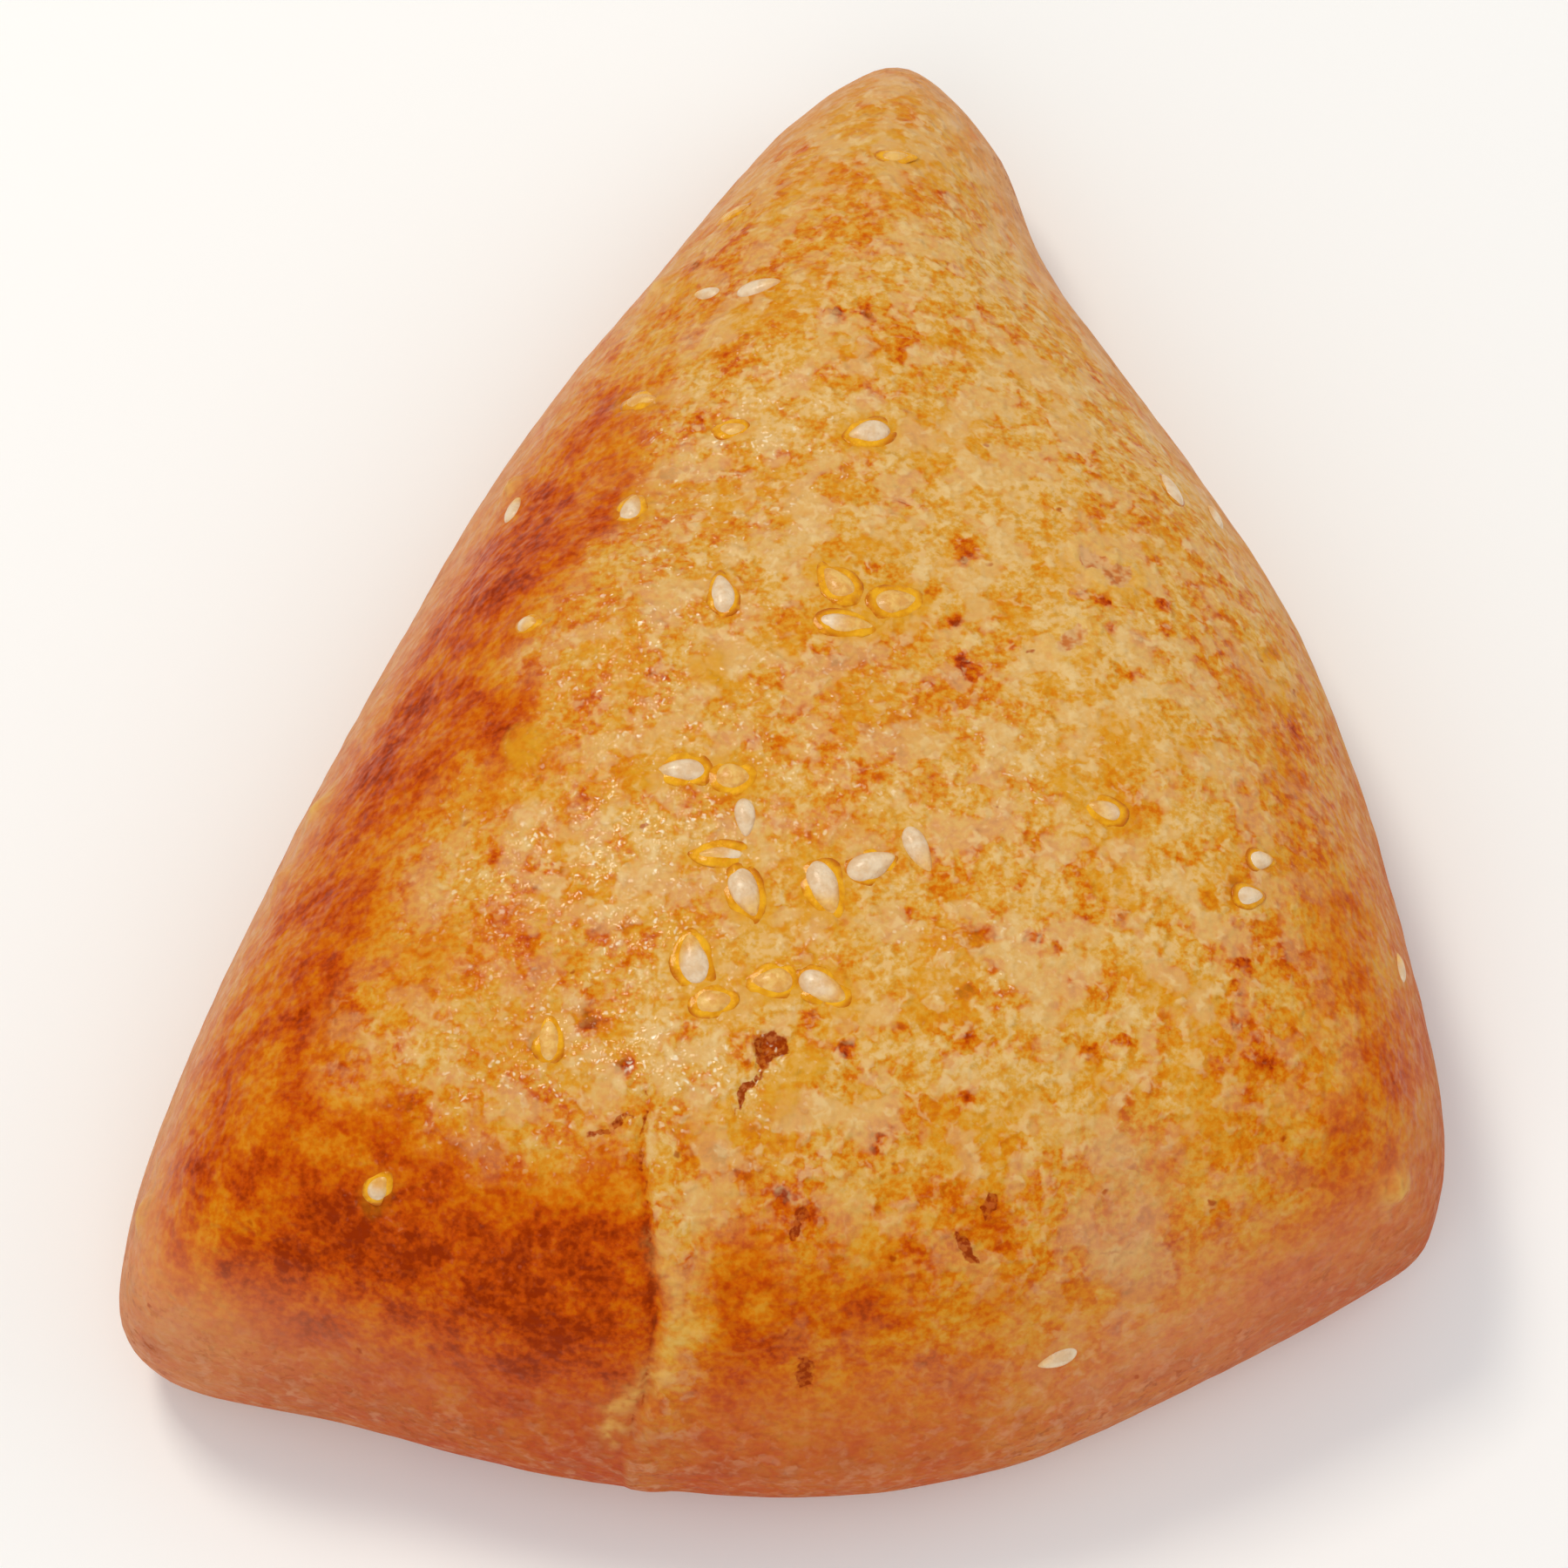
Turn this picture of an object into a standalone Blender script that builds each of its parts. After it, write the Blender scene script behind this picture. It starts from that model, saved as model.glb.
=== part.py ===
"""A closed sfiha: one puffy triangle of baked dough, folded shut under its foot, with sesame seeds on top.

The dough starts as a ball of even quads. Each point of the ball is named by its turn round the crown and by its
latitude, and goes to the same place on the pastry: the equator becomes the belly line, the upper half the domed top,
and the lower half the rounded hem and the flat foot. The oven's lumps and the one split in the crust are then pressed
into the top, and the seeds are fused to it.
"""

import math

import bmesh
import bpy
import numpy as np
from mathutils import Matrix, Vector, noise
from mathutils.bvhtree import BVHTree

MM = 0.001

# The belly line, where the pastry is widest, seen from above: millimetres from the middle of its own box, with the
# nose towards +Y, in order against the clock from the right corner.
BELLY_LINE_MM = (
    (41.8, -33.3),  # right corner
    (42.1, -23.8),
    (37.8, -2.7),  # middle of the right side
    (32.4, 11.7),
    (25.1, 24.2),
    (18.1, 35.9),  # neck, the only hollow stretch
    (14.7, 45.3),
    (8.3, 51.5),  # nose
    (-0.1, 46.8),
    (-9.4, 34.2),
    (-18.9, 20.4),
    (-26.6, 5.3),  # middle of the left side
    (-37.5, -19.9),
    (-42.2, -36.0),
    (-40.4, -43.2),  # left corner
    (-28.4, -46.5),
    (-14.6, -50.1),
    (-0.1, -51.5),  # middle of the front
    (10.5, -50.4),
    (20.0, -47.2),
    (37.7, -37.7),
)
CROWN = np.array((0.0, -12.0)) * MM  # the highest point, seen from above
CROWN_HEIGHT = 30 * MM
BELLY_HEIGHT = 7 * MM
CROWN_ROUND = 34 * MM  # rings near the crown tend to a circle, in proportion to this radius
SWELL_SHARE = 0.15  # the share of the dome that keeps rising as far as the crown
NOSE_DROP = 0.25  # the share of its height that the dome loses by the tip of the nose
HEM_INSET = 4 * MM  # how far the flat foot stays inside the belly line
HEM_SHARE = 0.35  # the share of the lower half of the ball that becomes the hem
QUADS_A_SIDE = 26

LUMPS = ((24 * MM, 1.1 * MM, 3.0), (10 * MM, 0.4 * MM, 11.0))  # width, height, place in the noise
LUMPS_FROM = 9 * MM  # the lumps fade out between here and the shoulders, so that the belly line stays smooth
LUMPS_FULL = 18 * MM

# The split down the left of the front, where the crust stretched open, seen from above.
SPLIT_MM = ((-9.4, -33.5), (-8.6, -41.0), (-8.2, -46.0), (-8.8, -49.5))
SPLIT_HALF_WIDTH = 1.6 * MM
SPLIT_DEPTH = 0.6 * MM
TEAR_MM = (-1.2, -30.3)  # a small hole torn in the top
TEAR_HALF_WIDTH = 2.0 * MM
TEAR_DEPTH = 0.8 * MM

# Sesame seeds: place seen from above in millimetres, and the way the point faces in degrees from +X.
SEEDS = (
    (7.5, 38.0, 30),
    (-3.7, 36.3, 170),
    (-5.4, 28.2, 155),
    (-1.8, 27.3, 346),
    (-9.6, 18.8, 339),
    (-3.5, 14.8, 2),
    (5.4, 13.4, 206),
    (25.5, 13.3, 101),
    (28.5, 13.0, 91),
    (-18.0, 12.3, 93),
    (-9.9, 8.8, 84),
    (-16.4, -0.1, 344),
    (-4.0, 0.7, 98),
    (3.2, 1.4, 138),
    (3.7, -1.8, 354),
    (7.0, -0.1, 15),
    (-6.6, -12.3, 177),
    (-3.4, -12.8, 0),
    (-2.5, -15.8, 95),
    (-4.0, -18.3, 180),
    (-2.5, -20.9, 109),
    (2.4, -20.5, 289),
    (5.3, -18.9, 22),
    (8.3, -17.7, 296),
    (19.5, -14.0, 345),
    (30.0, -15.8, 16),
    (29.0, -18.7, 14),
    (-5.7, -24.9, 100),
    (-0.6, -26.2, 0),
    (2.4, -26.8, 330),
    (39.4, -19.3, 85),
    (-14.5, -29.4, 91),
    (-25.1, -37.5, 54),
    (16.9, -45.8, 203),
)
SEED_HALF_SIZE = Vector((1.6, 0.95, 0.55)) * MM
SEED_POINT = 0.45  # how much narrower the seed is at its pointed end
SEED_SINK = 0.12 * MM  # how far its middle lies below the crust
SEED_SEGMENTS = 6
SEED_RINGS = 4


def belly_line(steps=10):
    """The belly line as close points, on the smooth curve of Catmull and Rom through the stations."""
    stations = np.array(BELLY_LINE_MM) * MM
    before, end, after = (np.roll(stations, shift, axis=0) for shift in (1, -1, -2))
    bend = 2 * before - 5 * stations + 4 * end - after
    twist = 3 * stations - before - 3 * end + after
    shares = np.arange(steps)[:, None, None] / steps
    curve = (2 * stations + (end - before) * shares + bend * shares**2 + twist * shares**3) / 2
    return curve.transpose(1, 0, 2).reshape(-1, 2)


def clearance(places, line):
    """How far inside the line each place is: exact beside the line, and smooth where the sides meet."""
    total = np.zeros(len(places))
    for start, end in zip(line, np.roll(line, -1, axis=0)):
        length = np.hypot(*(end - start))
        along = (end - start) / length
        spoke = start - places
        off = np.maximum(np.abs(spoke[:, 0] * along[1] - spoke[:, 1] * along[0]), 0.001 * MM)
        near = spoke @ along
        far = near + length
        total += (far / np.hypot(far, off) - near / np.hypot(near, off)) / off**2
    return (total / 2) ** -0.5


def pastry_points(ball):
    """Where points of the unit ball go on the plain pastry."""
    line = belly_line()
    spokes = line - CROWN
    turn = np.arctan2(ball[:, 1], ball[:, 0])
    belly = np.interp(turn, np.arctan2(spokes[:, 1], spokes[:, 0]), np.hypot(*spokes.T), period=math.tau)
    latitude = np.arcsin(np.clip(ball[:, 2], -1, 1))

    under = np.clip(-latitude / (math.pi / 2), 0, 1)
    round_off = np.minimum(under / HEM_SHARE, 1) * math.pi / 2
    foot_ring = (belly - HEM_INSET * (1 - np.cos(round_off))) * np.minimum((1 - under) / (1 - HEM_SHARE), 1)
    foot_height = BELLY_HEIGHT * (1 - np.sin(round_off))

    out = np.cos(latitude)
    ring = np.where(latitude < 0, foot_ring, out * (CROWN_ROUND * (1 - out) + belly * out))
    places = CROWN + ring[:, None] * np.stack((np.cos(turn), np.sin(turn)), axis=1)
    inside = np.minimum(clearance(places, line) / clearance(CROWN[None], line), 1)
    wall = np.sqrt(1 - (1 - inside) ** 2)
    swell = 1 - (ring / belly) ** 2
    along = np.clip((places[:, 1] - CROWN[1]) / (50 * MM - CROWN[1]), 0, 1)
    dome = (wall + (swell - wall) * SWELL_SHARE) * (1 - NOSE_DROP * along**1.5)
    top_height = BELLY_HEIGHT + (CROWN_HEIGHT - BELLY_HEIGHT) * dome
    return np.column_stack((places, np.where(latitude < 0, foot_height, top_height)))


def hollow(distance, half_width):
    """1 at the bottom of a hollow, easing to 0 beyond its edge."""
    return math.exp(-((distance / half_width) ** 2))


def distance_to_line(place, line):
    """Distance seen from above to a line of straight stretches."""
    found = []
    for start, end in zip(line, line[1:]):
        stretch = end - start
        share = max(0.0, min(1.0, (place - start).dot(stretch) / stretch.length_squared))
        found.append((place - start - stretch * share).length)
    return min(found)


def relief(point):
    """How far the baked crust stands out from the plain pastry here."""
    split_line = [Vector(place) * MM for place in SPLIT_MM]
    rise = sum(
        height * noise.noise(point / width + Vector((seed, seed, seed)))
        for width, height, seed in LUMPS
    )
    rise -= SPLIT_DEPTH * hollow(distance_to_line(point.xy, split_line), SPLIT_HALF_WIDTH)
    rise -= TEAR_DEPTH * hollow((point.xy - Vector(TEAR_MM) * MM).length, TEAR_HALF_WIDTH)
    return rise * max(0.0, min(1.0, (point.z - LUMPS_FROM) / (LUMPS_FULL - LUMPS_FROM)))


def baked_material(name, colour, roughness):
    """A plain Principled material."""
    material = bpy.data.materials.new(name)
    material.use_nodes = True
    shader = material.node_tree.nodes["Principled BSDF"]
    shader.inputs["Base Color"].default_value = (*colour, 1.0)
    shader.inputs["Roughness"].default_value = roughness
    return material


def new_object(name, mesh, collection, material):
    """Turn a bmesh into an object."""
    data = bpy.data.meshes.new(name)
    mesh.to_mesh(data)
    mesh.free()
    data.materials.append(material)
    made = bpy.data.objects.new(name, data)
    collection.objects.link(made)
    return made


def dough_mesh():
    """The pastry without its seeds."""
    mesh = bmesh.new()
    bmesh.ops.create_cube(mesh, size=2.0)
    bmesh.ops.subdivide_edges(mesh, edges=mesh.edges[:], cuts=QUADS_A_SIDE - 1, use_grid_fill=True)
    # the tangent spreads the quads evenly over the ball
    ball = np.tan(np.array([vert.co for vert in mesh.verts]) * math.pi / 4)
    ball /= np.linalg.norm(ball, axis=1)[:, None]
    for vert, place in zip(mesh.verts, pastry_points(ball)):
        vert.co = place
    mesh.normal_update()
    raised = {vert: vert.co + vert.normal * relief(vert.co) for vert in mesh.verts if vert.co.z > 0}
    for vert, place in raised.items():
        vert.co = place
    mesh.normal_update()
    return mesh


def seed_mesh():
    """One sesame seed along X, pointed towards +X."""
    mesh = bmesh.new()
    bmesh.ops.create_uvsphere(mesh, u_segments=SEED_SEGMENTS, v_segments=SEED_RINGS, radius=1.0)
    bmesh.ops.rotate(mesh, verts=mesh.verts[:], matrix=Matrix.Rotation(math.pi / 2, 3, "Y"))
    for vert in mesh.verts:
        narrow = 1 - SEED_POINT * (vert.co.x + 1) / 2
        vert.co.y *= narrow
        vert.co.z *= narrow
    bmesh.ops.scale(mesh, vec=SEED_HALF_SIZE, verts=mesh.verts[:])
    return mesh


def seed_place(crust, x, y, heading):
    """The matrix that lays a seed on the crust above or below (x, y)."""
    hit, normal, _, _ = crust.ray_cast(Vector((x * MM, y * MM, 2 * CROWN_HEIGHT)), Vector((0, 0, -1)))
    ahead = Vector((math.cos(math.radians(heading)), math.sin(math.radians(heading)), 0))
    ahead = (ahead - normal * ahead.dot(normal)).normalized()
    turned = Matrix((ahead, normal.cross(ahead), normal)).transposed().to_4x4()
    return Matrix.Translation(hit - normal * SEED_SINK) @ turned


def main():
    for old in list(bpy.data.objects):
        bpy.data.objects.remove(old, do_unlink=True)
    pastry = bpy.data.collections.new("sfiha")
    loose_seeds = bpy.data.collections.new("loose_seeds")
    bpy.context.scene.collection.children.link(pastry)
    bpy.context.scene.collection.children.link(loose_seeds)
    baked = baked_material("baked_dough", (0.61, 0.30, 0.07), 0.5)

    dough = dough_mesh()
    crust = BVHTree.FromBMesh(dough)
    body = new_object("sfiha", dough, pastry, baked)
    for number, (x, y, heading) in enumerate(SEEDS):
        mesh = seed_mesh()
        mesh.transform(seed_place(crust, x, y, heading))
        new_object(f"seed_{number}", mesh, loose_seeds, baked)

    fuse = body.modifiers.new("fuse_seeds", "BOOLEAN")
    fuse.operation = "UNION"
    fuse.operand_type = "COLLECTION"
    fuse.collection = loose_seeds
    fuse.solver = "EXACT"
    bpy.context.view_layer.objects.active = body
    bpy.ops.object.modifier_apply(modifier=fuse.name)
    for seed in list(loose_seeds.objects):
        bpy.data.objects.remove(seed, do_unlink=True)
    bpy.data.collections.remove(loose_seeds)
    bpy.ops.object.select_all(action="DESELECT")
    body.select_set(True)
    bpy.ops.object.shade_smooth()


main()
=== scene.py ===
"""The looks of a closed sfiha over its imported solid: the egg-washed crust, the sesame seeds baked onto it and
the egg wash that pooled round them.

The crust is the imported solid's own form, made again from the same named sizes with a finer skin, so that its
wrinkles, tears and small beads of dough are real relief.
"""

import math
import random

import bpy
import numpy as np
from mathutils import Matrix, Vector, noise


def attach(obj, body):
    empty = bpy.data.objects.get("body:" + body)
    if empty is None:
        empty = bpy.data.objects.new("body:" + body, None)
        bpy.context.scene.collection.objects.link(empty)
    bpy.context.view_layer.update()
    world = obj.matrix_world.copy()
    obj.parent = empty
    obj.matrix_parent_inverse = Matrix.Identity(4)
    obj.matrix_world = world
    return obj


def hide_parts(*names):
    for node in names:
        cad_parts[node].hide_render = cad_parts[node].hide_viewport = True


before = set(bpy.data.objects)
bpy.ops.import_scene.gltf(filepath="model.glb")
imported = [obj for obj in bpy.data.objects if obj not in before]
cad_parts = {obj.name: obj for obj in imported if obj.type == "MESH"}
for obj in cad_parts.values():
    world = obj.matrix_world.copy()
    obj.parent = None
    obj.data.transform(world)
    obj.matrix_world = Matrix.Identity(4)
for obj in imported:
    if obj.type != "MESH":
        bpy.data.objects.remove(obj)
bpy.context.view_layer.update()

MM = 0.001

# ---------------------------------------------------------------- the pastry's form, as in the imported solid

# Where the pastry is widest, seen from above, against the clock from its right corner; the nose is at +Y.
BELLY_LINE_MM = (
    (41.8, -33.3),
    (42.1, -23.8),
    (37.8, -2.7),
    (32.4, 11.7),
    (25.1, 24.2),
    (18.1, 35.9),
    (14.7, 45.3),
    (8.3, 51.5),
    (-0.1, 46.8),
    (-9.4, 34.2),
    (-18.9, 20.4),
    (-26.6, 5.3),
    (-37.5, -19.9),
    (-42.2, -36.0),
    (-40.4, -43.2),
    (-28.4, -46.5),
    (-14.6, -50.1),
    (-0.1, -51.5),
    (10.5, -50.4),
    (20.0, -47.2),
    (37.7, -37.7),
)
CROWN = np.array((0.0, -12.0)) * MM  # the highest point, seen from above
CROWN_HEIGHT = 30 * MM
BELLY_HEIGHT = 7 * MM
CROWN_ROUND = 34 * MM  # rings near the crown tend to a circle, in proportion to this radius
SWELL_SHARE = 0.15  # the share of the dome that keeps rising as far as the crown
NOSE_DROP = 0.25  # the share of its height that the dome loses by the tip of the nose
HEM_INSET = 4 * MM  # how far the flat foot stays inside the belly line
HEM_SHARE = 0.35  # the share of the lower half of the ball that becomes the hem
LUMPS = ((24 * MM, 1.1 * MM, 3.0), (10 * MM, 0.4 * MM, 11.0))  # width, height, place in the noise
LUMPS_FROM = 9 * MM  # the lumps fade out between here and the shoulders, so that the belly line stays smooth
LUMPS_FULL = 18 * MM

# ---------------------------------------------------------------- what the oven did to the crust

BELLY_LATITUDE = -33.0  # where the belly line lies on the ball that the skin is laid out on, in degrees
SKIN_CUTS = 62  # across a face of the cube that the skin starts as; every square of it is then cut once more
WRINKLES = ((4.0 * MM, 0.16 * MM, 21.0), (1.7 * MM, 0.08 * MM, 34.0))  # in the same three numbers
POOL_SWELL = 0.15 * MM  # how far the crust swells under a pool of egg wash with no seed in it

# The heights between which each of these comes or goes.
UPPER_FROM, UPPER_FULL = BELLY_HEIGHT, BELLY_HEIGHT + 2 * MM  # the upper skin, where egg wash can pool
FOOT_FROM, FOOT_CLEAR = 0.5 * MM, 5 * MM  # all relief, which the tray pressed flat at the foot
WALL_FULL, WALL_END = 8 * MM, 19 * MM  # the side walls
UNDER_FULL, UNDER_END = 0.2 * MM, 4 * MM  # the underside

# The split down the left of the front, and the pale dough that stretched beside it, seen from above.
SPLIT_MM = ((-9.6, -49.8), (-8.6, -48.6), (-8.0, -45.5), (-8.3, -41.0), (-8.9, -36.6), (-8.5, -33.0))
STRETCHED_MM = ((-7.8, -41.4), (-6.9, -43.7), (-6.0, -45.7), (-7.2, -46.8), (-8.5, -48.1), (-10.8, -49.5))
SPLIT_WIDE, SPLIT_DEEP = 0.35 * MM, 0.35 * MM
SPLIT_LIP = 0.22 * MM  # how far the dough stands up on the right of the split
TEARS = (  # middle, half length and half width, heading in degrees, depth; the lengths in millimetres
    (-0.6, -30.4, 1.1, 0.8, 0, 0.35),
    (-1.2, -31.1, 0.9, 0.6, 100, 0.35),
    (-2.4, -33.0, 1.5, 0.35, 60, 0.25),
    (0.7, -40.6, 1.0, 0.35, 70, 0.12),
    (12.4, -39.4, 1.0, 0.35, 60, 0.12),
    (11.1, -41.6, 0.9, 0.35, -55, 0.15),
    (1.2, -48.2, 0.9, 0.45, 100, 0.12),
    (-10.7, -34.9, 1.4, 0.3, 20, 0.12),
)
PEELS = (  # places where the browned skin has lifted off pale crumb, in the same six numbers
    (20.0, 4.4, 1.1, 0.7, -50, 0.15),
    (21.3, 3.5, 1.2, 0.8, 20, 0.15),
    (18.3, -2.1, 1.2, 0.8, 40, 0.15),
)
NUBS = (  # small beads of dough on the sides: place, radius and height, all in millimetres
    (-8.7, 30.0, 1.1, 0.5),
    (-18.2, 15.0, 1.0, 0.5),
    (-30.4, -8.5, 1.0, 0.4),
    (-32.4, -13.5, 0.9, 0.4),
    (-40.4, -36.0, 1.1, 0.5),
    (38.2, -34.6, 1.3, 0.8),
)

# How brown the crust is: direction from the crown in degrees against the clock from +X, the bake there at the
# shoulder, and the bake down at the belly line. The crown itself is CROWN_BAKE.
BAKE_ROUND = (
    (-60, 0.46, 0.52),
    (-35, 0.54, 0.64),
    (-10, 0.50, 0.64),
    (30, 0.31, 0.48),
    (65, 0.28, 0.34),
    (85, 0.34, 0.28),
    (110, 0.58, 0.28),
    (135, 0.74, 0.32),
    (165, 0.72, 0.32),
    (195, 0.70, 0.34),
    (220, 0.72, 0.46),
    (240, 0.84, 0.66),
    (262, 0.74, 0.74),
    (270, 0.60, 0.72),
    (285, 0.54, 0.64),
    (300, 0.47, 0.56),
)
CROWN_BAKE = 0.27
UNDER_BAKE = 0.56  # even, from the hot tray
SHOULDER_AT = 0.30  # its clearance from the belly line, as a share of the crown's
SHOULDER_WIDE = 0.24  # how far its bake reaches to either side, likewise

# How red and dark the side walls are, by the same directions: partly their own deeper bake, partly painted
# shade on the walls that face away from the window light. Also how pale and pink their edge is: partly its own
# lighter bake, partly a painted sheen where the edge catches the window light at a grazing angle.
FLUSH_SHADE_ROUND = ((15, 0.0), (206, 0.1), (226, 0.9), (240, 1.0), (275, 1.0), (300, 0.7), (330, 1.0), (350, 0.8))
PALE_SHEEN_ROUND = (
    (-60, 0.45),
    (-45, 0.60),
    (-30, 0.45),
    (10, 0.20),
    (70, 0.80),
    (100, 1.00),
    (214, 1.00),
    (228, 0.40),
    (245, 0.10),
    (290, 0.20),
)
PALE_SHEEN_WIDE = 0.24  # clearance to which the pale edge, with its painted sheen, fades out, as a share of the crown's

# Where the crust took most heat: place seen from above and radius in millimetres, and how much browner it is.
TOASTED = (
    (-11.0, 8.8, 3.6, 0.42),
    (-11.5, 16.0, 3.4, 0.15),
    (-14.8, 8.3, 3.4, 0.15),
    (-17.1, 1.5, 4.0, 0.20),
    (-18.9, -5.3, 4.0, 0.18),
    (-22.2, -7.0, 3.4, 0.10),
    (-25.4, -12.2, 3.8, 0.18),
    (-27.3, -19.7, 3.6, 0.30),
    (-22.1, -25.2, 2.8, 0.28),
    (-29.5, -23.0, 3.0, 0.15),
    (-24.7, -33.8, 3.0, 0.25),
    (-32.3, -36.0, 5.5, 0.08),
    (-35.1, -39.5, 4.0, 0.15),
    (-26.9, -40.6, 6.0, 0.20),
    (-30.9, -42.7, 4.0, 0.25),
    (-24.4, -44.7, 4.0, 0.20),
    (-18.3, -43.3, 5.0, 0.18),
    (-11.9, -45.7, 4.4, 0.36),
    (-10.7, -38.8, 2.2, 0.35),
    (-15.0, -40.0, 3.0, 0.15),
    (-10.9, -48.4, 2.6, 0.15),
    (-5.9, -36.0, 2.2, 0.35),
    (-10.7, -34.9, 2.2, 0.20),
    (-1.2, -41.3, 2.6, 0.10),
    (5.8, -43.8, 3.6, 0.22),
    (8.4, -35.9, 3.4, 0.15),
    (11.6, -40.0, 2.0, 0.18),
    (17.4, -43.8, 2.4, 0.12),
    (12.2, -45.1, 3.6, 0.12),
    (30.5, -40.5, 3.6, 0.18),
    (35.8, -34.7, 3.4, 0.26),
    (38.3, -26.2, 4.4, 0.36),
    (33.3, -9.2, 3.0, 0.28),
    (30.0, -3.8, 1.7, 0.35),
    (35.7, -18.0, 3.4, 0.28),
    (21.6, -15.2, 1.5, 0.35),
    (4.6, 34.0, 3.6, 0.12),
    (6.2, 33.0, 4.5, 0.12),
    (1.9, 27.9, 2.2, 0.15),
    (4.0, -8.0, 9.0, 0.20),
    (6.0, -19.0, 6.0, 0.10),
    (14.0, -32.0, 4.0, 0.12),
    (-15.8, -10.5, 6.0, 0.38),
    (-17.0, -25.0, 6.0, 0.30),
    (-25.5, -42.0, 5.0, 0.48),
    (-13.0, 0.0, 5.0, 0.15),
    (-27.5, -18.0, 5.0, 0.16),
)
GREYED = ((20.8, -36.5, 2.6, 0.7), (20.8, -40.4, 2.8, 0.8))  # dull pale patches, in the same four numbers
GLAZED = (  # where egg wash dried glassy, under a clear coat and with painted glints of tiny pale dots, in the same four numbers
    (-2, 13, 6, 0.6),
    (-9, 8, 8, 0.8),
    (-10, -5, 8, 0.8),
    (-14, -18, 9, 0.9),
    (-15, -30, 9, 0.9),
    (-5, -33, 6, 0.7),
    (3, -10, 7, 0.6),
    (14, -12, 4, 0.6),
    (10, -24, 5, 0.5),
    (-22, -38, 6, 0.7),
)
POOLS = (  # egg wash that pooled with no seed in it: middle and half sizes in millimetres, heading in degrees
    (-4.8, -4.9, 1.4, 1.9, 5),
    (1.3, -31.6, 1.4, 1.3, 20),
    (-0.4, -33.6, 1.3, 1.5, -20),
    (17.8, -13.3, 1.6, 0.8, -25),
    (-8.8, -12.5, 1.1, 0.8, 0),
    (-16.2, -9.9, 1.5, 1.9, 30),
)

# Sesame seeds: place seen from above in millimetres, the way the point faces in degrees from +X, length and
# width in millimetres, how far egg wash covers it (0 is bare and pale, 1 is amber all over) and how wide the
# wash pooled.
SEEDS = (
    (7.5, 38.3, 12, 2.3, 1.2, 0.9, 0.4),
    (-3.6, 35.2, 169, 2.6, 1.0, 1.0, 0.3),
    (-5.3, 26.9, 155, 2.2, 1.2, 0.3, 0.0),
    (-1.8, 26.2, 2, 3.1, 1.5, 0.1, 0.0),
    (-9.5, 17.9, 338, 2.6, 1.5, 0.9, 0.5),
    (-3.5, 14.0, 5, 2.1, 1.2, 0.7, 0.4),
    (5.4, 13.3, 195, 2.8, 1.9, 0.1, 0.8),
    (25.3, 12.6, 102, 2.9, 1.5, 0.1, 0.1),
    (28.4, 12.5, 91, 2.2, 1.2, 0.2, 0.0),
    (-17.9, 11.9, 93, 2.4, 1.5, 0.3, 0.0),
    (-9.9, 8.3, 83, 2.4, 1.6, 0.3, 0.5),
    (-16.4, -0.3, 344, 1.7, 1.4, 0.4, 0.2),
    (-4.0, 0.6, 99, 3.0, 1.7, 0.05, 0.3),
    (3.3, 1.3, 126, 3.0, 1.9, 0.8, 0.8),
    (3.8, -1.7, 354, 3.6, 1.5, 0.45, 0.6),
    (7.0, 0.1, 13, 3.0, 2.0, 0.75, 0.8),
    (-6.5, -12.2, 178, 3.1, 1.6, 0.05, 1.0),
    (-3.3, -12.7, 0, 2.5, 2.0, 0.95, 0.7),
    (-2.5, -15.5, 275, 2.6, 1.4, 0.0, 0.0),
    (-4.1, -17.9, 180, 2.9, 1.1, 0.45, 0.8),
    (-2.5, -20.5, 290, 3.5, 2.0, 0.15, 0.7),
    (2.4, -20.2, 289, 3.8, 2.1, 0.2, 0.8),
    (5.3, -18.7, 22, 3.3, 2.0, 0.05, 0.2),
    (8.2, -17.6, 296, 3.3, 1.6, 0.15, 0.0),
    (19.9, -14.4, 162, 2.4, 1.5, 0.5, 0.6),
    (29.8, -16.4, 16, 1.9, 1.4, 0.2, 0.1),
    (28.9, -19.1, 13, 2.1, 1.5, 0.1, 0.1),
    (-5.7, -24.7, 100, 3.4, 2.1, 0.25, 0.9),
    (-4.4, -27.5, 10, 2.6, 1.9, 1.0, 0.4),
    (-0.8, -26.2, 180, 2.8, 2.0, 0.9, 0.6),
    (2.3, -26.7, 329, 3.4, 2.0, 0.35, 0.6),
    (39.3, -19.7, 84, 2.2, 1.2, 0.3, 0.0),
    (-14.5, -29.6, 91, 2.8, 1.6, 0.8, 0.3),
    (-24.9, -37.9, 54, 1.9, 1.4, 0.5, 0.2),
    (16.9, -45.9, 205, 2.7, 1.4, 0.1, 0.0),
)
SEED_THICKNESS = 0.62  # of its width
SEED_TURNS, SEED_RINGS = 28, 18
POOL_THICKNESS = 0.36 * MM
POOL_TURNS, POOL_RINGS = 40, 12
BLUNT_END = 1.08  # how wide a seed or a pool is at its blunt end, as a share of the ball that it is made of
POINT_DRAWN = 0.5  # how much narrower it is at the pointed end, likewise


def belly_line(steps=10):
    """The belly line as close points, on the smooth curve of Catmull and Rom through the stations."""
    stations = np.array(BELLY_LINE_MM) * MM
    before, end, after = (np.roll(stations, shift, axis=0) for shift in (1, -1, -2))
    bend = 2 * before - 5 * stations + 4 * end - after
    twist = 3 * stations - before - 3 * end + after
    shares = np.arange(steps)[:, None, None] / steps
    curve = (2 * stations + (end - before) * shares + bend * shares**2 + twist * shares**3) / 2
    return curve.transpose(1, 0, 2).reshape(-1, 2)


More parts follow.
